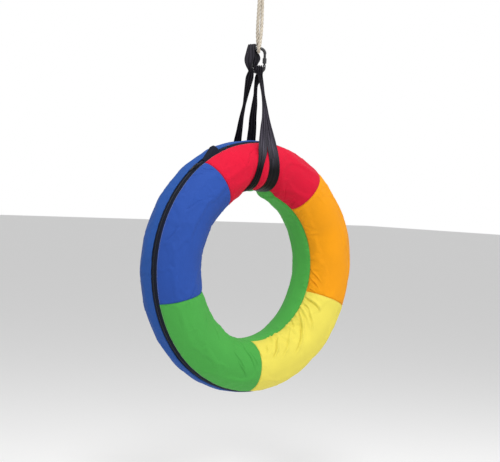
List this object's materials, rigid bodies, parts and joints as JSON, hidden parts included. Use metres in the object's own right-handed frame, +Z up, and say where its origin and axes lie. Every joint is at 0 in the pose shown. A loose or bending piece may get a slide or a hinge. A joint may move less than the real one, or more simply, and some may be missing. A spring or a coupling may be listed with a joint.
{
  "type": "tire swing",
  "caption": "Upright fabric-covered inflatable ring swing with coloured panels and a zip, on two webbing slings, a carabiner, a rope loop and a swivelling ceiling hanger.",
  "frame": {"origin": "middle of the ceiling plate's top face, where the swing hangs from its beam or ceiling", "axes": "+Z up, out of the ceiling plate's top face; the ring hangs in the XZ plane with its zipped front facing -Y"},
  "size_m": [0.9015, 0.2276, 1.6507],
  "materials": {
    "steel": "satin zinc-plated",
    "black_steel": "semi-gloss black powder coat",
    "bronze": "satin",
    "rope": "matte twisted fibre",
    "black_webbing": "satin woven webbing",
    "tube_rubber": "matte",
    "red_fabric": "matte woven",
    "orange_fabric": "matte woven",
    "yellow_fabric": "matte woven",
    "green_fabric": "matte woven",
    "blue_fabric": "matte woven",
    "black_tape": "matte woven tape",
    "zip_black": "satin black"
  },
  "bodies": {
    "ceiling_hanger": {"ceiling_plate": "black_steel", "hanger_cheek_left": "black_steel", "hanger_cheek_right": "black_steel", "pivot_bolt": "steel", "pivot_nut": "steel", "pivot_washers": "steel"},
    "swivel": {"pivot_bush": "bronze", "swivel_head": "steel", "swivel_housing": "steel", "bearing_washer_lower": "steel", "bearing_balls": "steel"},
    "spinning_eye": {"swivel_eye": "steel", "bearing_washer_upper": "steel"},
    "rope_loop": {"rope_thimble": "steel", "rope": "rope", "rope_seizing": "rope"},
    "carabiner": {"carabiner_body": "black_steel", "gate_pin": "steel"},
    "gate": {"carabiner_gate": "black_steel", "gate_spring": "steel"},
    "sleeve": {"lock_sleeve": "black_steel"},
    "seat": {"sling_left": "black_webbing", "sling_right": "black_webbing", "inner_tube": "tube_rubber", "valve_body": "tube_rubber", "valve_plug": "steel", "front_panel_red": "red_fabric", "front_panel_orange": "orange_fabric", "front_panel_yellow": "yellow_fabric", "front_panel_green": "green_fabric", "front_panel_blue": "blue_fabric", "back_panel_red": "red_fabric", "back_panel_orange": "orange_fabric", "back_panel_yellow": "yellow_fabric", "back_panel_green": "green_fabric", "back_panel_blue": "blue_fabric", "outer_band": "blue_fabric", "inner_band": "green_fabric", "zip_tape_outer": "black_tape", "zip_tape_inner": "black_tape", "zip_teeth_outer": "zip_black", "zip_teeth_inner": "zip_black", "zip_stop": "zip_black", "zip_garage": "black_tape"},
    "slider": {"zip_slider": "zip_black"},
    "pull": {"zip_pull": "zip_black"}
  },
  "joints": [
    {"name": "swing_fore_aft", "type": "hinge", "parent": "ceiling_hanger", "child": "swivel", "pos_m": [0, 0, -0.032], "axis": [1, 0, 0], "range_deg": [-40, 40]},
    {"name": "spin", "type": "hinge", "parent": "swivel", "child": "spinning_eye", "pos_m": [0, 0, -0.1], "axis": [0, 0, 1], "continuous": true},
    {"name": "swing_sideways", "type": "hinge", "parent": "spinning_eye", "child": "rope_loop", "pos_m": [0, 0, -0.138], "axis": [0, 1, 0], "range_deg": [-35, 35]},
    {"name": "carabiner_rock", "type": "hinge", "parent": "rope_loop", "child": "carabiner", "pos_m": [0, 0, -0.417], "axis": [0.766, -0.6428, 0], "range_deg": [-25, 25]},
    {"name": "gate_open", "type": "hinge", "parent": "carabiner", "child": "gate", "pos_m": [0.01762, -0.01478, -0.479], "axis": [-0.6428, -0.766, 0], "range_deg": [0, 26], "stiffness_Nm_per_rad": 0.4, "springref_deg": -17.19},
    {"name": "sleeve_lock", "type": "slide", "parent": "gate", "child": "sleeve", "axis": [0, 0, 1], "range_m": [0, 0.012]},
    {"name": "seat_rock", "type": "hinge", "parent": "carabiner", "child": "seat", "pos_m": [0, 0, -0.501], "axis": [0.766, -0.6428, 0], "range_deg": [-15, 15]},
    {"name": "zip_run", "type": "hinge", "parent": "seat", "child": "slider", "pos_m": [0, 0, -1.2], "axis": [0, -1, 0], "range_deg": [0, 336]},
    {"name": "zip_pull_lift", "type": "hinge", "parent": "slider", "child": "pull", "pos_m": [-0.28621, -0.02891, -0.84656], "axis": [-0.093, 0.989, 0.1149], "range_deg": [0, 150]}
  ]
}
